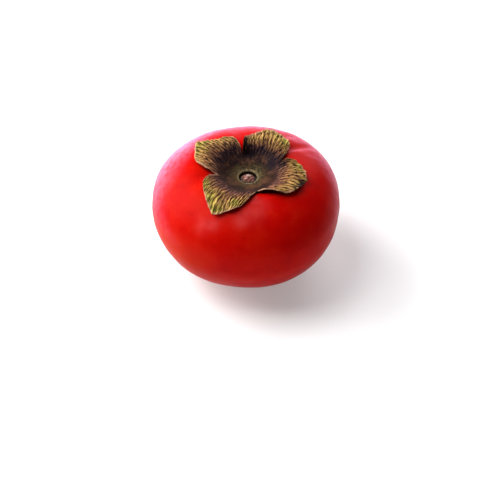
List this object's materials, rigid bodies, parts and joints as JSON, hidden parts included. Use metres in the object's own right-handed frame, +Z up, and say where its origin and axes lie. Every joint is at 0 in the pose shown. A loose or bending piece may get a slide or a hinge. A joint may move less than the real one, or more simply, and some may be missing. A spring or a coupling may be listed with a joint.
{
  "type": "persimmon",
  "caption": "Ripe squat persimmon that stands on a small flat spot, with its broad dry calyx lying in the bowl on top and the stub of its stalk inside the calyx collar.",
  "frame": {"origin": "the middle of the flat spot that the fruit rests on, under the middle of the box round it", "axes": "+Z up along the fruit's axis, from the blossom end to the calyx; -Y towards the side with the longest calyx lobe"},
  "size_m": [0.0798, 0.0798, 0.0562],
  "materials": {
    "fruit_skin": "thin waxy skin with a soft gloss",
    "calyx_leaf": "dry and matt, ribbed lengthwise",
    "stalk_wood": "broken dry wood",
    "style_dry": "dry and matt"
  },
  "bodies": {
    "root": {"fruit": "fruit_skin", "calyx": "calyx_leaf", "stem_stub": "stalk_wood", "style_tip": "style_dry"}
  },
  "joints": []
}
